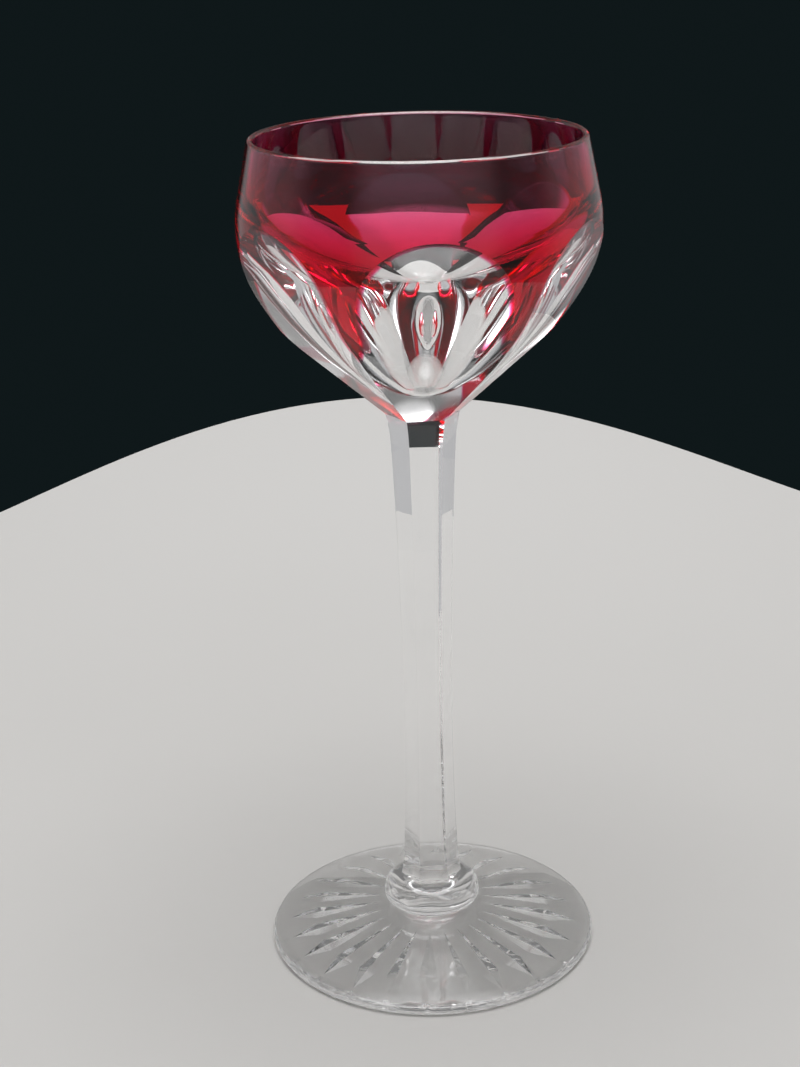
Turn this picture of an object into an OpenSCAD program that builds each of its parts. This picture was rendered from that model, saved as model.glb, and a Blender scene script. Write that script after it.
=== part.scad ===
// Cut crystal roemer glass on a hexagonal stem.
// A clear bowl carries a thin ruby casing, and tall arched panels are cut through the casing into the bowl.
// Below the bowl come a hexagonal stem, a round button and a low foot with a star cut into its underside.
// Lengths are millimetres, +Z is up and the foot rests on z = 0.

/* [Bowl] */
// Height of the bowl from the crease above the stem to the rim
bowl_height = 60.5; // [57.5:0.5:66]
// Greatest outer radius of the bowl
belly_radius = 39; // [34:0.2:44]
// Height of the greatest radius above the crease
belly_height = 42; // [38:0.5:46]
// Radius of the belly's curve, between the straight flank below and the straight wall above
belly_curve = 30; // [26:1:32]
// Radius of the blown bowl at the crease, before the panels are cut
flank_foot = 18.5; // [16:0.5:20]
// How far the rim draws in from the belly
rim_draw = 3; // [2:0.2:4.4]
// Thickness of the wall at the rim
rim_wall = 1.5; // [1.2:0.1:2.5]

/* [Hollow] */
// Thickness of the solid glass between the hollow and the crease
base_thickness = 10.4; // [9:0.1:12]
// Radius of the rounded bottom of the hollow
hollow_floor = 10; // [7:0.1:12]
// Height of the widest part of the hollow above the crease
hollow_widest = 47.8; // [46:0.2:50]
// Thickness of the wall at that height
belly_wall = 2.3; // [1.9:0.1:3]
// Radius of the curve between the straight wall above and the cone of the hollow below
hollow_curve = 16.8; // [14:0.1:19]

/* [Ruby casing] */
// Thickness of the ruby layer
overlay_thickness = 0.5; // [0.3:0.1:0.8]

/* [Cut panels] */
// Number of panels, which is also the number of sides of the stem
sides = 6; // [5:1:8]
// Height of the arch tops above the crease
panel_top = 45; // [42:0.5:48]
// Height above the crease at which the ruby between two panels is measured
spandrel_height = 34.5; // [34:0.5:37]
// Width of the ruby left between two panels at that height
spandrel_width = 7.9; // [6:0.1:10]
// Height above the crease at which that ruby has narrowed to a point
tongue_foot = 18.2; // [17:0.1:20]
// Radius of the bend between the steep and the upright part of a panel
panel_bend = 56; // [30:1:58]

/* [Stem] */
// Height of the stem from the button to the crease under the bowl
stem_height = 114.3; // [90:0.1:140]
// Corner radius of the stem at the crease under the bowl
crease_radius = 8.25; // [7.5:0.05:9]
// Corner radius of the stem at its waist
waist_radius = 5.6; // [4.5:0.1:6]
// Height of the waist above the button
waist_height = 40; // [30:1:60]
// Corner radius of the stem on the button
base_radius = 7.1; // [6.6:0.1:8]
// Length of the short flare under the bowl
neck_length = 7; // [4:0.5:12]
// Extra spread of each side along that flare
neck_flare = 0.6; // [0.2:0.1:1]
// Length of the short flare above the button
ankle_length = 6; // [3:0.5:10]
// Extra spread of each side along the flare above the button
ankle_flare = 0.4; // [0.1:0.1:0.7]

/* [Button] */
// Greatest radius of the button
button_radius = 11.4; // [10.5:0.1:13]
// Height of the button
button_height = 6.2; // [5:0.1:8]
// Height of the greatest radius above the foot
button_bulge = 1.5; // [1:0.1:3]
// How far the button draws in below its greatest radius
button_undercut = 1; // [0.5:0.1:2]
// Ledge of the button that shows round the corners of the stem
button_ledge = 0.2; // [0.1:0.1:0.6]

/* [Foot] */
// Radius of the foot
foot_radius = 38.4; // [35:0.2:44]
// Height of the seat under the button
foot_height = 9; // [8:0.1:11]
// Thickness of the foot at its round edge
foot_edge = 2.2; // [1.6:0.1:3]
// Rise of the hollow underside at the middle
foot_hollow = 5.5; // [3:0.1:6]
// Width of the flat ring that the glass stands on
ring_width = 2.7; // [1.5:0.1:4]
// Ledge of the foot that shows round the button
seat_ledge = 0.4; // [0.2:0.1:1]

/* [Star] */
// Number of rays in the star
star_rays = 24; // [12:2:28]
// Greatest width of a ray
ray_width = 4.6; // [3.4:0.1:5.2]
// Angle between the two faces of a ray's groove
ray_angle = 150; // [140:1:160]
// Length of the pointed outer end of a ray
ray_point = 6.3; // [4:0.1:9]
// Distance from the ray tips to the standing ring
ray_margin = 0.8; // [0.5:0.1:3]
// Distance from the seat of the button to the inner ends of the rays
ray_gap = 1.2; // [0.5:0.1:4]

/* [Hidden] */
$fn = 96;
// Straight pieces that stand for the bowl's whole side, one long curve, and one small round or flare
side_steps = 24;
curve_steps = 20;
small_steps = 8;
// How far a cutting shape reaches past the glass
cut_margin = 1;
// Direction of the first panel, which is -Y
front = -90;
// Colour of the clear glass, and of the ruby
crystal = [0.94, 1, 1, 0.45];
ruby = [0.86, 0.08, 0.24, 0.75];

// Angle between neighbouring sides, and distance to a side as a share of the distance to a corner
side_angle = 360 / sides;
flat_share = cos(side_angle / 2);

// Levels above the table
button_level = foot_height;
stem_level = button_level + button_height;
crease_level = stem_level + stem_height;

// Outer side of the bowl: a straight flank, the belly curve and a straight wall in to the lip
lip_radius = rim_wall / 2;
lip_level = bowl_height - lip_radius;
rim_radius = belly_radius - rim_draw;
belly_centre = belly_radius - belly_curve;
flank_lean = acos(-belly_curve / norm([belly_centre - flank_foot, belly_height]))
    - atan2(belly_height, belly_centre - flank_foot);
rim_offset = [rim_radius - belly_centre, lip_level - belly_height];
wall_lean = atan2(rim_offset.y, rim_offset.x) - acos(belly_curve / norm(rim_offset));

function flank_side(z, inset) = flank_foot + z * tan(flank_lean) - inset / cos(flank_lean);
function belly_side(z, inset) =
    belly_centre + sqrt(pow(belly_curve - inset, 2) - pow(belly_height - z, 2));
function wall_side(z, inset) = rim_radius + (lip_level - z) * tan(wall_lean) - inset / cos(wall_lean);
function bowl_side(z, inset) =
    z < belly_height - (belly_curve - inset) * sin(flank_lean) ? flank_side(z, inset)
    : z < belly_height + (belly_curve - inset) * sin(wall_lean) ? belly_side(z, inset)
    : wall_side(z, inset);
// Points up the side of the bowl, inset from its outer surface
function side_line(inset) = [
    for (step = [0:side_steps])
        let (z = lip_level * step / side_steps)
        [bowl_side(z, inset), z]
];

// Side view of a panel: up the flank from the crease, round the bend and on to the arch top
crease_flat = crease_radius * flat_share;
tongue_flat = bowl_side(tongue_foot, 0) * flat_share;
spandrel_radius = bowl_side(spandrel_height, 0);
spandrel_flat = spandrel_radius * cos(side_angle / 2 - asin(spandrel_width / 2 / spandrel_radius));
arch_radius = bowl_side(panel_top, 0);
panel_flank = atan((tongue_flat - crease_flat) / tongue_foot);
panel_lean = atan((arch_radius - spandrel_flat) / (panel_top - spandrel_height));
meet_level = (arch_radius - panel_top * tan(panel_lean) - crease_flat)
    / (tan(panel_flank) - tan(panel_lean));
bend_run = panel_bend * tan((panel_flank - panel_lean) / 2);
bend_foot = meet_level - bend_run * cos(panel_flank);
bend_centre = [
    crease_flat + bend_foot * tan(panel_flank) - panel_bend * cos(panel_flank),
    bend_foot + panel_bend * sin(panel_flank)
];
panel_reach = belly_radius + cut_margin;
panel_line = [
    for (step = [0:curve_steps])
        let (turn = panel_flank + (panel_lean - panel_flank) * step / curve_steps)
        bend_centre + panel_bend * [cos(turn), -sin(turn)]
];

// Hollow of the bowl: a straight wall down from the lip, the belly curve, a cone and a round bottom
hollow_radius = bowl_side(hollow_widest, 0) - belly_wall;
hollow_centre = hollow_radius - hollow_curve;
lip_offset = [rim_radius - lip_radius - hollow_centre, lip_level - hollow_widest];
hollow_lean = atan2(lip_offset.y, lip_offset.x) - acos((hollow_curve + lip_radius) / norm(lip_offset));
floor_centre = base_thickness + hollow_floor;
cone_rise = atan2(hollow_widest - floor_centre, hollow_centre)
    - asin((hollow_curve - hollow_floor) / norm([hollow_centre, hollow_widest - floor_centre]));
hollow_line = concat(
    [
        for (step = [0:curve_steps])
            let (turn = hollow_lean + (cone_rise - 90 - hollow_lean) * step / curve_steps)
            [hollow_centre + hollow_curve * cos(turn), hollow_widest + hollow_curve * sin(turn)]
    ],
    [
        for (step = [0:small_steps])
            let (turn = cone_rise * (1 - step / small_steps))
            [hollow_floor * sin(turn), floor_centre - hollow_floor * cos(turn)]
    ]
);
lip_line = [
    for (step = [0:small_steps])
        let (turn = (180 + hollow_lean) * step / small_steps)
        [rim_radius - lip_radius + lip_radius * cos(turn), lip_level + lip_radius * sin(turn)]
];

// Distance from the axis to a side of the stem
waist_flat = waist_radius * flat_share;
base_flat = base_radius * flat_share;
upper_height = stem_height - waist_height;
shaft_length = stem_height - ankle_length - neck_length;
upper_spread = crease_flat - waist_flat - neck_flare;
lower_spread = base_flat - waist_flat - ankle_flare;
function sweep(z) =
    z < waist_height ? lower_spread * pow(1 - z / waist_height, 2)
    : upper_spread * pow((z - waist_height) / upper_height, 2);
function neck(z) = neck_flare * pow(max(0, 1 - (stem_height - z) / neck_length), 2);
function ankle(z) = ankle_flare * pow(max(0, 1 - z / ankle_length), 2);
function stem_flat(z) = waist_flat + sweep(z) + neck(z) + ankle(z);
// Levels closer together in the two flares than along the shaft
stem_levels = concat(
    [for (step = [0:small_steps]) ankle_length * step / small_steps],
    [for (step = [1:curve_steps]) ankle_length + shaft_length * step / curve_steps],
    [for (step = [1:small_steps]) stem_height - neck_length + neck_length * step / small_steps]
);

// Foot and its star
seat_radius = button_radius - button_undercut + seat_ledge;
edge_radius = foot_edge / 2;
edge_centre = foot_radius - edge_radius;
foot_lean = atan((foot_height - foot_edge) / (edge_centre - seat_radius));
ring_radius = edge_centre - ring_width;
ray_tip = ring_radius - ray_margin;
ray_root = seat_radius + ray_gap;
ray_shoulder = ray_tip - ray_point;
ray_depth = ray_width / 2 / tan(ray_angle / 2);
ray_spacing = 360 / star_rays;
function underside(radius) = foot_hollow * (1 - radius / ring_radius);

// Everything outside one panel, with the panel facing +X
module panel_cut() {
    top_level = panel_top + (panel_reach - arch_radius) / tan(panel_lean);
    outline = concat(
        [[crease_flat - cut_margin * tan(panel_flank), -cut_margin]],
        panel_line,
        [
            [panel_reach, top_level],
            [panel_reach + cut_margin, top_level],
            [panel_reach + cut_margin, -cut_margin]
        ]
    );
    rotate([90, 0, 0])
        linear_extrude(height = 2 * belly_radius, center = true)
            polygon(outline);
}

// All panels, the first one facing -Y
module panel_cuts() {
    for (side = [0:sides - 1])
        rotate(front + side * side_angle)
            panel_cut();
}

// V-shaped prism with its ridge through two points of a ray's side view, open downwards
module mitre(end, ridge, inwards) {
    drop = ray_depth * (ray_tip - ray_root) / ray_point + cut_margin;
    spread = drop * tan(ray_angle / 2);
    lean = atan((ridge.y - end.y) / abs(ridge.x - end.x));
    translate([end.x, 0, end.y])
        mirror([inwards ? 1 : 0, 0, 0])
            rotate([0, -lean, 0])
                translate([-cut_margin, 0, 0])
                    rotate([90, 0, 90])
                        linear_extrude(height = ray_tip - ray_root + 2 * cut_margin)
                            polygon([[0, 0], [spread, -drop], [-spread, -drop]]);
}

// One ray of the star, pointing along +X: shallow at both ends and deepest at its shoulder
module ray_cut() {
    ridge = [ray_shoulder, underside(ray_shoulder) + ray_depth];
    intersection() {
        mitre([ray_root, underside(ray_root)], ridge, false);
        mitre([ray_tip, underside(ray_tip)], ridge, true);
    }
}

module bowl() {
    outline = concat(
        [[0, 0]],
        side_line(overlay_thickness),
        lip_line,
        hollow_line
    );
    color(crystal)
        translate([0, 0, crease_level])
            difference() {
                rotate_extrude() polygon(outline);
                panel_cuts();
            }
}

module ruby_overlay() {
    inner = side_line(overlay_thickness);
    outline = concat(
        side_line(0),
        [for (step = [side_steps:-1:0]) inner[step]]
    );
    color(ruby)
        translate([0, 0, crease_level])
            difference() {
                rotate_extrude() polygon(outline);
                panel_cuts();
            }
}

module stem() {
    reach = 2 * crease_radius;
    outline = concat(
        [[-reach, 0]],
        [for (z = stem_levels) [stem_flat(z), z]],
        [[-reach, stem_height]]
    );
    color(crystal)
        translate([0, 0, stem_level])
            intersection_for (side = [0:sides - 1])
                rotate(front + side * side_angle)
                    rotate([90, 0, 0])
                        linear_extrude(height = 2 * reach, center = true)
                            polygon(outline);
}

module button() {
    top_radius = base_radius + button_ledge;
    seat = button_radius - button_undercut;
    outline = concat(
        [[0, 0]],
        [
            for (step = [0:small_steps])
                let (turn = 90 * (step / small_steps - 1))
                [seat + button_undercut * cos(turn), button_bulge * (1 + sin(turn))]
        ],
        [
            for (step = [1:small_steps])
                let (turn = 90 * step / small_steps)
                [
                    top_radius + (button_radius - top_radius) * cos(turn),
                    button_bulge + (button_height - button_bulge) * sin(turn)
                ]
        ],
        [[0, button_height]]
    );
    color(crystal)
        translate([0, 0, button_level])
            rotate_extrude() polygon(outline);
}

module foot() {
    outline = concat(
        [[0, foot_hollow], [ring_radius, 0]],
        [
            for (step = [0:small_steps])
                let (turn = -90 + (180 - foot_lean) * step / small_steps)
                [edge_centre + edge_radius * cos(turn), edge_radius + edge_radius * sin(turn)]
        ],
        [[seat_radius, foot_height], [0, foot_height]]
    );
    color(crystal)
        difference() {
            rotate_extrude() polygon(outline);
            for (ray = [0:star_rays - 1])
                rotate(front + ray_spacing * (ray + 1 / 2))
                    ray_cut();
        }
}

bowl();
ruby_overlay();
stem();
button();
foot();
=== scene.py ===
import math

import bmesh
import bpy
import numpy as np
from mathutils import Matrix, Vector


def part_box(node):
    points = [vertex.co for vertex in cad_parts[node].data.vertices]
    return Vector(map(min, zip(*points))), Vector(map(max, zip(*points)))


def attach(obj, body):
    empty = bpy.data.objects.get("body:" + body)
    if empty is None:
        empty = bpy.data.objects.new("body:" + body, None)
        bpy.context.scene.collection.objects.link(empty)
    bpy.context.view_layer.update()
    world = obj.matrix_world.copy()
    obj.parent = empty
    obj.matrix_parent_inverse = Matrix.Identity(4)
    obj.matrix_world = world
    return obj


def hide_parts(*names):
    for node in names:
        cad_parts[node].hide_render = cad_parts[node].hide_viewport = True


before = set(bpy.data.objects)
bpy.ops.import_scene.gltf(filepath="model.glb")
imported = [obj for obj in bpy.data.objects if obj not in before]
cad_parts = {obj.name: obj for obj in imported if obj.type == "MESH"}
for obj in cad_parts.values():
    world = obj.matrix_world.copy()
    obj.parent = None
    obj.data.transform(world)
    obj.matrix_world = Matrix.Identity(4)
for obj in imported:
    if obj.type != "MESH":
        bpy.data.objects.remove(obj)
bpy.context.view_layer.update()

# The foot is a low cone of clear crystal, pressed and then polished, on which the glass stands.
# Its underside is hollow, so that only a narrow ring touches the table, and a star of 24 mitred
# rays is cut into the hollow. Its seat is fused to the button.
MM = 0.001
FRONT = math.radians(-90)

foot_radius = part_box("foot")[1].x
foot_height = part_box("foot")[1].z
foot_edge = 2.2 * MM
foot_hollow = 5.5 * MM
standing_ring = 2.7 * MM
seat_radius = 10.8 * MM
button_seat = 10.4 * MM
star_rays = 24
ray_width = 4.6 * MM
ray_slope = math.tan(math.radians(15))
ray_point = 6.3 * MM
ray_margin = 0.8 * MM
ray_gap = 1.2 * MM


def polar(radius, angle, height):
    """Grid of points from radii, angles and heights that broadcast to rows and columns."""
    radius, angle, height = np.broadcast_arrays(radius, angle, height)
    return np.stack([radius * np.cos(angle), radius * np.sin(angle), height], axis=-1)


def column(values):
    """Values that run from row to row of a grid."""
    return np.asarray(values, float)[:, None]


def closed_piece(name, patches, finishes):
    """Joins grids of points into one closed piece, smooth but for its cut edges."""
    sharp, weld, sliver = math.radians(9), 0.002 * MM, 0.001 * MM
    points, faces, finish_of = [], [], []
    for grid, finish in patches:
        rows, columns = grid.shape[:2]
        start = len(points)
        points.extend(map(tuple, grid.reshape(-1, 3)))
        for row in range(rows - 1):
            for step in range(columns - 1):
                corner = start + row * columns + step
                faces.append((corner, corner + 1, corner + columns + 1, corner + columns))
                finish_of.append(finish)
    mesh = bpy.data.meshes.new(name)
    mesh.from_pydata(points, [], faces)
    mesh.polygons.foreach_set("material_index", finish_of)
    skin = bmesh.new()
    skin.from_mesh(mesh)
    bmesh.ops.remove_doubles(skin, verts=skin.verts, dist=weld)
    bmesh.ops.dissolve_degenerate(skin, edges=skin.edges, dist=sliver)
    bmesh.ops.recalc_face_normals(skin, faces=skin.faces)
    for face in skin.faces:
        face.smooth = True
    for edge in skin.edges:
        edge.smooth = len(edge.link_faces) == 2 and edge.calc_face_angle() < sharp
    open_edges = sum(len(edge.link_faces) != 2 for edge in skin.edges)
    if open_edges:
        raise ValueError(f"{name} has {open_edges} edges that do not join two faces")
    skin.to_mesh(mesh)
    skin.free()
    for finish in finishes:
        mesh.materials.append(finish)
    piece = bpy.data.objects.new(name, mesh)
    bpy.context.scene.collection.objects.link(piece)
    return piece


def polish_group():
    """Hand polish: slow waves left by the wheel, fine brush marks and faint smudges."""
    group = bpy.data.node_groups.new("hand_polish", "ShaderNodeTree")
    sockets = group.interface
    for label, value in (("Wave Size", 90.0), ("Smudge Size", 45.0), ("Sheen", 0.012)):
        sockets.new_socket(label, in_out="INPUT", socket_type="NodeSocketFloat").default_value = value
    for label in ("Roughness", "Height", "Smudge"):
        sockets.new_socket(label, in_out="OUTPUT", socket_type="NodeSocketFloat")
    nodes, link = group.nodes, group.links.new
    inside, outside = nodes.new("NodeGroupInput"), nodes.new("NodeGroupOutput")
    place = nodes.new("ShaderNodeTexCoord")
    wave = nodes.new("ShaderNodeTexNoise")
    wave.inputs["Detail"].default_value = 1.0
    link(place.outputs["Object"], wave.inputs["Vector"])
    link(inside.outputs["Wave Size"], wave.inputs["Scale"])
    brush = nodes.new("ShaderNodeTexNoise")
    brush.inputs["Scale"].default_value = 2200.0
    brush.inputs["Detail"].default_value = 2.0
    link(place.outputs["Object"], brush.inputs["Vector"])
    height = nodes.new("ShaderNodeMath")
    height.operation = "MULTIPLY_ADD"
    height.inputs[1].default_value = 0.02
    link(brush.outputs["Fac"], height.inputs[0])
    link(wave.outputs["Fac"], height.inputs[2])
    smudge = nodes.new("ShaderNodeTexNoise")
    smudge.inputs["Detail"].default_value = 5.0
    smudge.inputs["Roughness"].default_value = 0.6
    link(place.outputs["Object"], smudge.inputs["Vector"])
    link(inside.outputs["Smudge Size"], smudge.inputs["Scale"])
    patch = nodes.new("ShaderNodeMapRange")
    patch.interpolation_type = "SMOOTHSTEP"
    patch.inputs["From Min"].default_value = 0.5
    patch.inputs["From Max"].default_value = 0.72
    link(smudge.outputs["Fac"], patch.inputs["Value"])
    gloss = nodes.new("ShaderNodeMath")
    gloss.operation = "MULTIPLY"
    link(patch.outputs["Result"], gloss.inputs[0])
    link(inside.outputs["Sheen"], gloss.inputs[1])
    link(gloss.outputs["Value"], outside.inputs["Roughness"])
    link(height.outputs["Value"], outside.inputs["Height"])
    link(patch.outputs["Result"], outside.inputs["Smudge"])
    return group


hand_polish = polish_group()
GLASS_IOR = 1.54


def polished_glass(name, clean, smudged, wave_size, sheen):
    """A clear glass material with the hand polish on it."""
    glass = bpy.data.materials.new(name)
    glass.use_nodes = True
    nodes, link = glass.node_tree.nodes, glass.node_tree.links.new
    shader = nodes["Principled BSDF"]
    shader.inputs["Transmission Weight"].default_value = 1.0
    shader.inputs["IOR"].default_value = GLASS_IOR
    polish = nodes.new("ShaderNodeGroup")
    polish.node_tree = hand_polish
    polish.inputs["Wave Size"].default_value = wave_size
    polish.inputs["Sheen"].default_value = sheen
    link(polish.outputs["Roughness"], shader.inputs["Roughness"])
    bump = nodes.new("ShaderNodeBump")
    bump.inputs["Strength"].default_value = 0.06
    bump.inputs["Distance"].default_value = 0.25 * MM
    link(polish.outputs["Height"], bump.inputs["Height"])
    link(bump.outputs["Normal"], shader.inputs["Normal"])
    tone = nodes.new("ShaderNodeMix")
    tone.data_type = "RGBA"
    tone.inputs["A"].default_value = (*clean, 1)
    tone.inputs["B"].default_value = (*smudged, 1)
    link(polish.outputs["Smudge"], tone.inputs["Factor"])
    link(tone.outputs["Result"], shader.inputs["Base Color"])
    return glass


crystal = polished_glass("crystal", (1.0, 1.0, 1.0), (0.97, 0.975, 0.972), 90.0, 0.012)

fused_joint = bpy.data.materials.new("fused_joint")
fused_joint.use_nodes = True
joint_nodes = fused_joint.node_tree.nodes
joint_nodes.remove(joint_nodes["Principled BSDF"])
fused_joint.node_tree.links.new(
    joint_nodes.new("ShaderNodeBsdfTransparent").outputs["BSDF"],
    joint_nodes["Material Output"].inputs["Surface"],
)
GLASS, JOINT = 0, 1

edge_radius = foot_edge / 2
edge_centre = foot_radius - edge_radius
ring_radius = edge_centre - standing_ring
foot_lean = math.atan((foot_height - foot_edge) / (edge_centre - seat_radius))
ray_tip = ring_radius - ray_margin
ray_root = seat_radius + ray_gap
ray_shoulder = ray_tip - ray_point
ray_spacing = 2 * math.pi / star_rays
ray_middles = column(ray_spacing * (np.arange(star_rays) + 0.5))
ray_stops = [-1, -0.5, 0, 0.5, 1]
ray_steps = 8
ray_columns = np.linspace(-1, 1, ray_steps + 1)[:-1]
foot_round = FRONT + np.append(ray_middles + ray_columns * ray_spacing / 2, ray_spacing * star_rays)


def underside(radius):
    """Height of the hollow underside at a distance from the axis."""
    return foot_hollow * (1 - radius / ring_radius)


def star_row(radius):
    """One ring of the hollow underside with the mitred rays pressed into it."""
    width = ray_width * np.interp(radius, [ray_root, ray_shoulder, ray_tip], [0, 1, 0])
    half = math.asin(width / 2 / radius)
    halfway = ray_spacing / 2
    steps = np.interp(ray_columns, ray_stops, [-halfway, -half, 0, half, halfway])
    rise = np.interp(ray_columns, ray_stops, [0, 0, width / 2 * ray_slope, 0, 0])
    angles = np.ravel(ray_middles + steps)
    heights = underside(radius) + np.tile(rise, star_rays)
    ring = polar(radius, FRONT + angles, heights)
    return np.concatenate([ring, ring[:1]])


hollow_rows, root_rows, point_rows, edge_rows, slope_rows = 5, 13, 7, 12, 9
hollow_radii = np.linspace(0, seat_radius, hollow_rows)
star_radii = np.concatenate(
    [
        np.linspace(ray_root, ray_shoulder, root_rows),
        np.linspace(ray_shoulder, ray_tip, point_rows)[1:],
    ]
)
star = np.stack([star_row(radius) for radius in star_radii])
hollow = polar(column(hollow_radii), foot_round, column(underside(hollow_radii)))
ring = polar(column([ring_radius, edge_centre]), foot_round, 0.0)
edge_turn = column(np.linspace(-math.pi / 2, math.pi / 2 - foot_lean, edge_rows))
edge = polar(
    edge_centre + edge_radius * np.cos(edge_turn),
    foot_round,
    edge_radius + edge_radius * np.sin(edge_turn),
)
seat = polar(column([seat_radius, button_seat]), foot_round, foot_height)
seat_middle = polar(column([button_seat, 0]), foot_round, foot_height)
slope = np.linspace(0, 1, slope_rows)[:, None, None] * (seat[:1] - edge[-1:]) + edge[-1:]
foot = closed_piece(
    "foot_glass",
    [
        (np.concatenate([hollow, star[:1]]), GLASS),
        (star, GLASS),
        (np.concatenate([star[-1:], ring[:1]]), GLASS),
        (ring, GLASS),
        (edge, GLASS),
        (slope, GLASS),
        (seat, GLASS),
        (seat_middle, JOINT),
    ],
    [crystal, fused_joint],
)
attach(foot, "root")
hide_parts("foot")

# The button is a flattened ball of clear crystal between foot and stem.
# It is dropped on hot and pressed, which leaves a rounded shoulder and a small undercut.
# Below it is fused to the foot's seat, and above it to the six-sided end of the stem.
button_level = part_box("button")[0].z
button_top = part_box("button")[1].z
button_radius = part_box("button")[1].x
button_bulge = 1.5 * MM
stem_base = 7.1 * MM
button_shoulder = stem_base + 0.2 * MM

SIDES = 6
SIDE_ANGLE = 2 * math.pi / SIDES
side_columns = 16
undercut_rows, shoulder_rows = 9, 17
button_round = FRONT - SIDE_ANGLE / 2 + np.arange(SIDES * side_columns + 1) * SIDE_ANGLE / side_columns


def hexagon(corner, angle):
    """Distance from the axis to a hexagon with a flat side to the front."""
    across = (angle - FRONT + SIDE_ANGLE / 2) % SIDE_ANGLE - SIDE_ANGLE / 2
    return corner * math.cos(SIDE_ANGLE / 2) / np.cos(across)


undercut_turn = column(np.linspace(-math.pi / 2, 0, undercut_rows))
undercut = polar(
    button_seat + (button_radius - button_seat) * np.cos(undercut_turn),
    button_round,
    button_level + button_bulge * (1 + np.sin(undercut_turn)),
)
shoulder_turn = column(np.linspace(0, math.pi / 2, shoulder_rows))
shoulder = polar(
    button_shoulder + (button_radius - button_shoulder) * np.cos(shoulder_turn),
    button_round,
    button_level + button_bulge + (button_top - button_level - button_bulge) * np.sin(shoulder_turn),
)
button_foot = polar(column([0, button_seat]), button_round, button_level)
stem_print = polar(hexagon(stem_base, button_round)[None], button_round, button_top)
button_axis = polar(np.zeros((1, 1)), button_round, button_top)
button = closed_piece(
    "button_glass",
    [
        (button_foot, JOINT),
        (undercut, GLASS),
        (shoulder, GLASS),
        (np.concatenate([shoulder[-1:], stem_print]), GLASS),
        (np.concatenate([stem_print, button_axis]), JOINT),
    ],
    [crystal, fused_joint],
)
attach(button, "root")
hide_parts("button")

# The stem is a drawn rod of clear crystal, cut afterwards with six flat sides.
# It is slimmest at a waist below the middle and flares at both ends.
# Its arrises run up into the edges between the bowl's panels.
stem_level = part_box("stem")[0].z
crease_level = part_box("stem")[1].z
stem_height = crease_level - stem_level
crease_corner = 8.25 * MM
waist_corner = 5.6 * MM
waist_height = 40 * MM
neck_length, neck_flare = 7 * MM, 0.6 * MM
ankle_length, ankle_flare = 6 * MM, 0.4 * MM

flat_share = math.cos(SIDE_ANGLE / 2)
upper_spread = (crease_corner - waist_corner) * flat_share - neck_flare
lower_spread = (stem_base - waist_corner) * flat_share - ankle_flare
ankle_rows, shaft_rows, neck_rows = 9, 41, 11
stem_rise = np.concatenate(
    [
        np.linspace(0, ankle_length, ankle_rows),
        np.linspace(ankle_length, stem_height - neck_length, shaft_rows)[1:],
        np.linspace(stem_height - neck_length, stem_height, neck_rows)[1:],
    ]
)
below = lower_spread * np.clip(1 - stem_rise / waist_height, 0, None) ** 2
above = upper_spread * np.clip((stem_rise - waist_height) / (stem_height - waist_height), 0, None) ** 2
neck = neck_flare * np.clip(1 - (stem_height - stem_rise) / neck_length, 0, None) ** 2
ankle = ankle_flare * np.clip(1 - stem_rise / ankle_length, 0, None) ** 2
stem_corner = waist_corner + (below + above + neck + ankle) / flat_share

stem_sides = polar(
    hexagon(column(stem_corner), button_round), button_round, column(stem_level + stem_rise)
)
stem_foot = np.concatenate([polar(np.zeros((1, 1)), button_round, stem_level), stem_sides[:1]])
stem_head = np.concatenate([stem_sides[-1:], polar(np.zeros((1, 1)), button_round, crease_level)])
stem = closed_piece(
    "stem_glass",
    [(stem_foot, JOINT), (stem_sides, GLASS), (stem_head, JOINT)],
    [crystal, fused_joint],
)
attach(stem, "root")
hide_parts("stem")

# The bowl is blown in clear crystal, thick below and thin at the fire-polished lip.
# Six tall arched panels are cut through the casing into its side and polished.
# Its solid base is fused to the top of the stem.
rim_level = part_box("bowl")[1].z
polish_loss = 0.02 * MM
belly_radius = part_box("ruby_overlay")[1].x - polish_loss
belly_height = 42 * MM
belly_curve = 30 * MM
flank_foot = 18.5 * MM
rim_draw = 3 * MM
rim_wall = 1.5 * MM
base_thickness = 10.4 * MM
hollow_floor = 10 * MM
hollow_widest = 47.8 * MM
belly_wall = 2.3 * MM
hollow_curve = 16.8 * MM
casing_thickness = 0.5 * MM
casing_film = 0.083 * MM
casing_draw = 10 * MM
panel_top = 45 * MM
spandrel_height = 34.5 * MM
spandrel_width = 7.9 * MM
tongue_foot = 18.2 * MM
panel_bend = 56 * MM

lip_radius = rim_wall / 2
lip_height = rim_level - crease_level - lip_radius
rim_radius = belly_radius - rim_draw
belly_centre = belly_radius - belly_curve
flank_lean = math.acos(
    -belly_curve / math.hypot(belly_centre - flank_foot, belly_height)
) - math.atan2(belly_height, belly_centre - flank_foot)
rim_aside, rim_above = rim_radius - belly_centre, lip_height - belly_height
wall_lean = math.atan2(rim_above, rim_aside) - math.acos(belly_curve / math.hypot(rim_aside, rim_above))


def bowl_side(height, inset):
    """Radius of the blown bowl at heights above the crease, inset from its outer surface."""
    height = np.asarray(height, float)
    flank = flank_foot + height * math.tan(flank_lean) - inset / math.cos(flank_lean)
    round_part = np.clip((belly_curve - inset) ** 2 - (belly_height - height) ** 2, 0, None)
    belly = belly_centre + np.sqrt(round_part)
    wall = rim_radius + (lip_height - height) * math.tan(wall_lean) - inset / math.cos(wall_lean)
    on_flank = height < belly_height - (belly_curve - inset) * math.sin(flank_lean)
    on_wall = height > belly_height + (belly_curve - inset) * math.sin(wall_lean)
    return np.where(on_flank, flank, np.where(on_wall, wall, belly))


def casing_depth(height):
    """Thickness of the ruby, which was drawn out to a film towards the lip."""
    drawn_out = casing_film * np.exp((lip_height - np.asarray(height, float)) / casing_draw)
    return np.minimum(drawn_out, casing_thickness)


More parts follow.
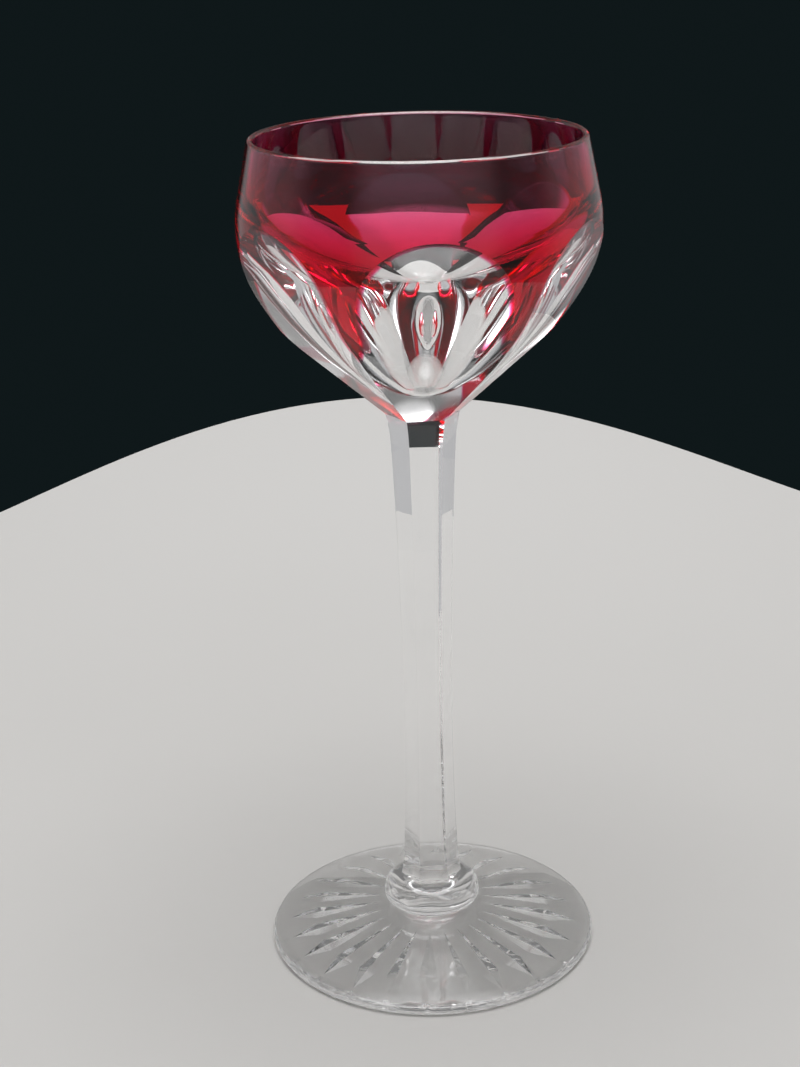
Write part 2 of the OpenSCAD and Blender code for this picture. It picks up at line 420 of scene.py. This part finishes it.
crease_flat = crease_corner * flat_share
tongue_flat = float(bowl_side(tongue_foot, 0)) * flat_share
spandrel_radius = float(bowl_side(spandrel_height, 0))
spandrel_turn = SIDE_ANGLE / 2 - math.asin(spandrel_width / 2 / spandrel_radius)
arch_radius = float(bowl_side(panel_top, 0))
panel_flank = math.atan((tongue_flat - crease_flat) / tongue_foot)
panel_lean = math.atan(
    (arch_radius - spandrel_radius * math.cos(spandrel_turn)) / (panel_top - spandrel_height)
)
meet_height = (arch_radius - panel_top * math.tan(panel_lean) - crease_flat) / (
    math.tan(panel_flank) - math.tan(panel_lean)
)
bend_run = panel_bend * math.tan((panel_flank - panel_lean) / 2)
bend_start = meet_height - bend_run * math.cos(panel_flank)
bend_end = meet_height + bend_run * math.cos(panel_lean)
bend_middle = bend_start + panel_bend * math.sin(panel_flank)
bend_axis = crease_flat + bend_start * math.tan(panel_flank) - panel_bend * math.cos(panel_flank)


def panel_side(height):
    """Distance from the axis to a panel's middle line at heights above the crease."""
    height = np.asarray(height, float)
    steep = crease_flat + height * math.tan(panel_flank)
    bent = bend_axis + np.sqrt(np.clip(panel_bend**2 - (bend_middle - height) ** 2, 0, None))
    upright = arch_radius - (panel_top - height) * math.tan(panel_lean)
    return np.where(height < bend_start, steep, np.where(height < bend_end, bent, upright))


def panel_half(height, inset):
    """Half the angle that a panel takes up at heights above the crease."""
    share = np.clip(panel_side(height) / bowl_side(height, inset), flat_share, 1)
    return np.arccos(share)


edge_steps, gap_columns, panel_columns = 57, 24, 24
flank_rows, band_rows = 17, 17
gap_across = np.linspace(0, 1, gap_columns + 1)
panel_across = np.linspace(-1, 1, panel_columns + 1)
arch_reach = 1 * MM
halvings = 60


def crossing(low, high, gap):
    """Height between low and high at which the gap stops being negative."""
    for _ in range(halvings):
        middle = (low + high) / 2
        low, high = (middle, high) if gap(middle) < 0 else (low, middle)
    return low


def edge_heights(depth):
    """Heights up the edge of a panel from the tongue's point to the arch top, closer at the top."""
    point = crossing(0, spandrel_height, lambda h: panel_side(h) / flat_share - bowl_side(h, depth(h)))
    top = crossing(
        spandrel_height, panel_top + arch_reach, lambda h: panel_side(h) - bowl_side(h, depth(h))
    )
    return top - (top - point) * (1 - np.linspace(0, 1, edge_steps)) ** 2


def gap_heights(edge, ease):
    """Heights of the edge and on from the arch top to the lip."""
    return np.concatenate([edge, np.linspace(edge[-1], lip_height - ease, band_rows)[1:]])


def gap_grid(side, edge, ease, depth):
    """Surface between two neighbouring panels, across the whole side above the arch tops."""
    heights = gap_heights(edge, ease)
    half = column(np.where(heights > edge[-1], 0, panel_half(heights, depth(heights))))
    angle = FRONT + side * SIDE_ANGLE + half + (SIDE_ANGLE - 2 * half) * gap_across
    return polar(column(bowl_side(heights, depth(heights))), angle, column(crease_level + heights))


def panel_grid(side, heights):
    """Surface of one panel, straight from edge to edge at each height."""
    facing = FRONT + side * SIDE_ANGLE
    reach = column(panel_side(heights))
    aside = reach * np.tan(column(panel_half(heights, casing_depth(heights)))) * panel_across
    return np.stack(
        [
            reach * math.cos(facing) - aside * math.sin(facing),
            reach * math.sin(facing) + aside * math.cos(facing),
            np.broadcast_to(column(crease_level + heights), aside.shape),
        ],
        axis=-1,
    )


inner_edge = edge_heights(casing_depth)
panel_heights = np.concatenate([np.linspace(0, inner_edge[0], flank_rows)[:-1], inner_edge])
bowl_foot = np.array([0, 0, crease_level])
bowl_patches = []
for side in range(SIDES):
    panel = panel_grid(side, panel_heights)
    bowl_patches += [
        (panel, GLASS),
        (np.stack([panel[0], np.broadcast_to(bowl_foot, panel[0].shape)]), JOINT),
        (gap_grid(side, inner_edge, 0.0, casing_depth), JOINT),
    ]

bowl_round = FRONT + np.arange(SIDES * gap_columns + 1) * SIDE_ANGLE / gap_columns
casing_top = polar(
    column([float(bowl_side(lip_height, casing_film)), rim_radius]),
    bowl_round,
    crease_level + lip_height,
)
hollow_radius = float(bowl_side(hollow_widest, 0)) - belly_wall
hollow_centre = hollow_radius - hollow_curve
lip_aside, lip_above = rim_radius - lip_radius - hollow_centre, lip_height - hollow_widest
hollow_lean = math.atan2(lip_above, lip_aside) - math.acos(
    (hollow_curve + lip_radius) / math.hypot(lip_aside, lip_above)
)
floor_centre = base_thickness + hollow_floor
cone_rise = math.atan2(hollow_widest - floor_centre, hollow_centre) - math.asin(
    (hollow_curve - hollow_floor) / math.hypot(hollow_centre, hollow_widest - floor_centre)
)


def arc(radius, aside, above, turns):
    """Distances from the axis and heights along a round of the bowl's section."""
    return np.array([aside + radius * np.cos(turns), above + radius * np.sin(turns)])


def straight(start, end, steps):
    """Distances and heights between the end of one round and the start of the next."""
    return start[:, -1:] + (end[:, :1] - start[:, -1:]) * np.linspace(0, 1, steps)[1:-1]


lip_rows, wall_rows, curve_rows, cone_rows, bottom_rows = 15, 9, 41, 13, 17
cone_turn = cone_rise - math.pi / 2
lip_turns = np.linspace(0, math.pi + hollow_lean, lip_rows)
curve_turns = np.linspace(hollow_lean, cone_turn, curve_rows)
bottom_turns = np.linspace(cone_turn, -math.pi / 2, bottom_rows)
lip = arc(lip_radius, rim_radius - lip_radius, lip_height, lip_turns)
curve = arc(hollow_curve, hollow_centre, hollow_widest, curve_turns)
bottom = arc(hollow_floor, 0, floor_centre, bottom_turns)
inside_reach, inside_rise = np.concatenate(
    [lip, straight(lip, curve, wall_rows), curve, straight(curve, bottom, cone_rows), bottom], axis=1
)
bowl_inside = polar(column(inside_reach), bowl_round, column(crease_level + inside_rise))
bowl = closed_piece(
    "bowl_glass",
    bowl_patches + [(casing_top, JOINT), (bowl_inside, GLASS)],
    [crystal, fused_joint],
)
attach(bowl, "root")
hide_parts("bowl")

# The casing is a skin of ruby glass, half a millimetre thick, blown on over the clear bowl.
# The panels are cut right through it, so that it stays as a band below the lip and as six pointed
# tongues between the panels, with sloping edges where the ruby thins out to nothing.
ruby = polished_glass("ruby", (1.0, 1.0, 1.0), (0.97, 0.97, 0.97), 90.0, 0.012)
ruby_nodes, ruby_link = ruby.node_tree.nodes, ruby.node_tree.links.new
open_face = ruby_nodes.new("ShaderNodeAttribute")
open_face.attribute_name = "open_face"
ruby_link(open_face.outputs["Fac"], ruby_nodes["Principled BSDF"].inputs["Alpha"])
gold_ruby = ruby_nodes.new("ShaderNodeVolumeAbsorption")
gold_ruby.inputs["Color"].default_value = (0.945, 0.061, 0.435, 1)
gold_ruby.inputs["Density"].default_value = 12500.0
ruby_link(gold_ruby.outputs["Volume"], ruby_nodes["Material Output"].inputs["Volume"])

joint_gap = 0.01 * MM


def outside(height):
    """Depth of the casing's open side, which is the bowl's outer surface."""
    return np.zeros_like(height)


def fused_side(height):
    """Depth of the casing's hidden side, a hair off the clear bowl."""
    return casing_depth(height) - joint_gap


open_edge, hidden_edge = edge_heights(outside), edge_heights(fused_side)
casing_patches = []
for side in range(SIDES):
    open_side = gap_grid(side, open_edge, joint_gap, outside)
    hidden_side = gap_grid(side, hidden_edge, joint_gap, fused_side)
    casing_patches += [
        (open_side, GLASS),
        (hidden_side, JOINT),
        (np.stack([open_side[:edge_steps, 0], hidden_side[:edge_steps, 0]]), GLASS),
        (np.stack([open_side[:edge_steps, -1], hidden_side[:edge_steps, -1]]), GLASS),
        (np.stack([open_side[-1], hidden_side[-1]]), JOINT),
    ]
casing = closed_piece("ruby_casing", casing_patches, [ruby, ruby])
fused = np.zeros(len(casing.data.polygons), np.int32)
casing.data.polygons.foreach_get("material_index", fused)
casing.data.attributes.new("open_face", "FLOAT", "FACE").data.foreach_set(
    "value", np.where(fused == GLASS, 1.0, 0.0)
)
casing.data.polygons.foreach_set("material_index", np.zeros_like(fused))
casing.data.materials.pop()
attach(casing, "root")
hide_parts("ruby_overlay")

# The floor is a plain pale sheet with a satin lacquer, on which the glass stands.
# It lies flat under the glass and is turned up towards its edge, like a shallow dish.
# Its back edge crosses the picture where the bowl meets the stem, and beyond it all is dark.
floor_flat = 100 * MM
floor_back = 275 * MM
floor_draw = 35 * MM
floor_rise = 55.2 * MM
floor_sheet = 6 * MM
floor_gap = 0.1 * MM
back_middle = math.radians(88)
back_quarter = math.radians(45)

lacquer = bpy.data.materials.new("pale_lacquer")
lacquer.use_nodes = True
lacquer_nodes, lacquer_link = lacquer.node_tree.nodes, lacquer.node_tree.links.new
lacquer_shader = lacquer_nodes["Principled BSDF"]
lacquer_place = lacquer_nodes.new("ShaderNodeTexCoord")
mottle = lacquer_nodes.new("ShaderNodeTexNoise")
mottle.inputs["Scale"].default_value = 6.0
mottle.inputs["Detail"].default_value = 6.0
lacquer_link(lacquer_place.outputs["Object"], mottle.inputs["Vector"])
lacquer_tone = lacquer_nodes.new("ShaderNodeMix")
lacquer_tone.data_type = "RGBA"
lacquer_tone.inputs["A"].default_value = (0.57, 0.56, 0.54, 1)
lacquer_tone.inputs["B"].default_value = (0.60, 0.59, 0.57, 1)
lacquer_link(mottle.outputs["Fac"], lacquer_tone.inputs["Factor"])
lacquer_link(lacquer_tone.outputs["Result"], lacquer_shader.inputs["Base Color"])
lacquer_gloss = lacquer_nodes.new("ShaderNodeMapRange")
lacquer_gloss.inputs["To Min"].default_value = 0.42
lacquer_gloss.inputs["To Max"].default_value = 0.55
lacquer_link(mottle.outputs["Fac"], lacquer_gloss.inputs["Value"])
lacquer_link(lacquer_gloss.outputs["Result"], lacquer_shader.inputs["Roughness"])
brush_marks = lacquer_nodes.new("ShaderNodeTexNoise")
brush_marks.inputs["Scale"].default_value = 900.0
brush_marks.inputs["Detail"].default_value = 3.0
lacquer_link(lacquer_place.outputs["Object"], brush_marks.inputs["Vector"])
lacquer_bump = lacquer_nodes.new("ShaderNodeBump")
lacquer_bump.inputs["Strength"].default_value = 0.15
lacquer_bump.inputs["Distance"].default_value = 0.1 * MM
lacquer_link(brush_marks.outputs["Fac"], lacquer_bump.inputs["Height"])
lacquer_link(lacquer_bump.outputs["Normal"], lacquer_shader.inputs["Normal"])


def turned_up(reach):
    """Height of the floor at distances from the glass."""
    bend = np.clip(reach - floor_flat, 0, None) / (floor_back - floor_flat)
    return floor_rise * bend**2 - floor_gap


floor_rows, floor_columns = 61, 241
from_middle = np.linspace(-math.pi, math.pi, floor_columns)
floor_round = back_middle + from_middle
floor_edge = floor_back - floor_draw * np.sin(2 * np.minimum(np.abs(from_middle), back_quarter)) ** 2
floor_reach = column(np.linspace(0, 1, floor_rows)) * floor_edge
floor_top = polar(floor_reach, floor_round, turned_up(floor_reach))
floor_under = polar(floor_reach, floor_round, turned_up(floor_reach) - floor_sheet)
floor_sheet_edge = np.stack([floor_top[-1], floor_under[-1]])
floor = closed_piece("floor", [(floor_top, 0), (floor_sheet_edge, 0), (floor_under, 0)], [lacquer])

# The light is one wide soft lamp overhead in a dim studio with paler walls in front and on both sides.
# Low down behind the glass the studio is dark, and the bowl shows that dark through its clear parts.
lamp_light = (4.0, 4.0, 4.04)
room_light = (0.18, 0.18, 0.18)
side_light = (0.45, 0.45, 0.46)
front_light = (0.5, 0.5, 0.51)
back_dark = (0.005, 0.009, 0.010)

studio = bpy.data.worlds.new("soft_studio")
bpy.context.scene.world = studio
studio.use_nodes = True
studio_nodes, studio_link = studio.node_tree.nodes, studio.node_tree.links.new
direction = studio_nodes.new("ShaderNodeTexCoord")
parts = studio_nodes.new("ShaderNodeSeparateXYZ")
studio_link(direction.outputs["Generated"], parts.inputs["Vector"])
aside = studio_nodes.new("ShaderNodeMath")
aside.operation = "ABSOLUTE"
studio_link(parts.outputs["X"], aside.inputs[0])


def light_blend(source, start, end, low, high):
    """A smooth change from one light to another, each a colour or a blend made before."""
    share = studio_nodes.new("ShaderNodeMapRange")
    share.interpolation_type = "SMOOTHSTEP"
    share.inputs["From Min"].default_value = start
    share.inputs["From Max"].default_value = end
    studio_link(source, share.inputs["Value"])
    mix = studio_nodes.new("ShaderNodeMix")
    mix.data_type = "RGBA"
    studio_link(share.outputs["Result"], mix.inputs["Factor"])
    for socket, value in (("A", low), ("B", high)):
        if isinstance(value, tuple):
            mix.inputs[socket].default_value = (*value, 1)
        else:
            studio_link(value, mix.inputs[socket])
    return mix.outputs["Result"]


dome = light_blend(parts.outputs["Z"], 0.84, 0.94, room_light, lamp_light)
low_back = light_blend(parts.outputs["Z"], 0.02, 0.1, back_dark, dome)
side_wall = light_blend(parts.outputs["Z"], 0.4, 0.6, side_light, dome)
back = light_blend(aside.outputs["Value"], 0.3, 0.5, low_back, side_wall)
front_wall = light_blend(parts.outputs["Y"], -0.85, -0.6, front_light, dome)
all_round = light_blend(parts.outputs["Y"], -0.3, 0.1, front_wall, back)
studio_link(all_round, studio_nodes["Background"].inputs["Color"])

# Light is turned back many times inside cut glass before it comes out again.
light_turns = 40
cycles = bpy.context.scene.cycles
cycles.max_bounces = light_turns
cycles.glossy_bounces = light_turns
cycles.transmission_bounces = light_turns
cycles.transparent_max_bounces = light_turns

# The camera looks down at the glass from a little above the lip, as in the picture.
# Its place, tilt and lens were fitted to the outlines of lip, belly and foot.
IMAGE_HEIGHT = 1067
lens_pixels = 1932.62
camera_back, camera_up, camera_aside = 408.2 * MM, 249.1 * MM, -5.63 * MM
camera_tilt, camera_roll, camera_swing = math.radians(19.908), math.radians(-1.349), math.radians(-4)
lens = bpy.data.cameras.new("camera")
lens.sensor_fit = "VERTICAL"
lens.sensor_height = 36.0
lens.lens = lens_pixels / IMAGE_HEIGHT * lens.sensor_height
camera = bpy.data.objects.new("camera", lens)
ahead = Vector((0, math.cos(camera_tilt), -math.sin(camera_tilt)))
upright = Vector((0, math.sin(camera_tilt), math.cos(camera_tilt)))
right = Vector((1, 0, 0))
rolled_right = math.cos(camera_roll) * right + math.sin(camera_roll) * upright
rolled_up = math.cos(camera_roll) * upright - math.sin(camera_roll) * right
stance = Matrix((rolled_right, rolled_up, -ahead)).transposed().to_4x4()
stance.translation = (camera_aside, -camera_back, camera_up)
camera.matrix_world = Matrix.Rotation(camera_swing, 4, "Z") @ stance
bpy.context.scene.collection.objects.link(camera)
bpy.context.scene.camera = camera
bpy.context.scene.view_settings.view_transform = "Standard"
